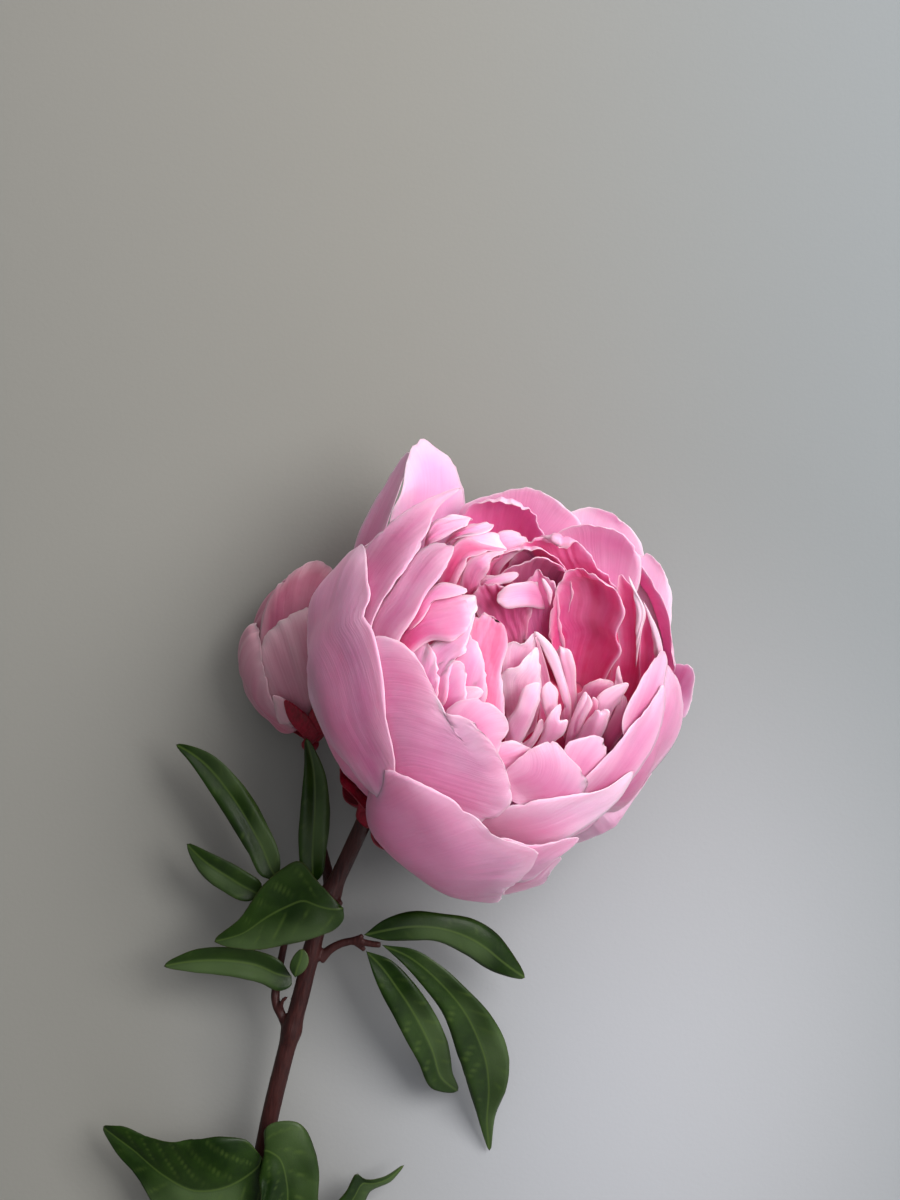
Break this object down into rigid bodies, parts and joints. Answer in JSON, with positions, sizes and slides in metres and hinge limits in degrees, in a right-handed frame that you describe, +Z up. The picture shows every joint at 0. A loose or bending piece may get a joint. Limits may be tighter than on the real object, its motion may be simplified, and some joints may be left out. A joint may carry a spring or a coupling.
{
  "type": "cut peony stem",
  "caption": "Cut peony stem lying on its side: an open double bloom, a half open side bud and divided leaves, for a still life or a bouquet.",
  "frame": {"origin": "middle of the part's outline from above, on the surface it lies on", "axes": "+Z up from the surface, +Y from the cut end of the stem towards the bloom, +X to the side where the bloom opens"},
  "size_m": [0.1822, 0.3032, 0.1103],
  "materials": {
    "outer_petals": "soft, thin petal, pale lavender pink outside",
    "inner_petals": "soft, thin petal, deeper rose and magenta",
    "bud_petals": "soft, thin petal, dark pink with a pale face",
    "sepals": "satin, deep crimson",
    "stem": "satin, dark maroon",
    "leaves": "satin, dark green with a paler underside"
  },
  "bodies": {
    "root": {"stem": "stem", "sepals": "sepals", "outer_petals": "outer_petals", "inner_petals": "inner_petals", "side_bud_petals": "bud_petals", "side_bud_sepals": "sepals", "left_leaflet_1": "leaves", "left_leaflet_2": "leaves", "left_leaflet_3": "leaves", "left_leaflet_4": "leaves", "left_leaflet_5": "leaves", "bract_leaf": "leaves", "right_leaflet_1": "leaves", "right_leaflet_2": "leaves", "right_leaflet_3": "leaves", "low_leaflet_1": "leaves", "low_leaflet_2": "leaves", "low_leaflet_3": "leaves"}
  },
  "joints": []
}
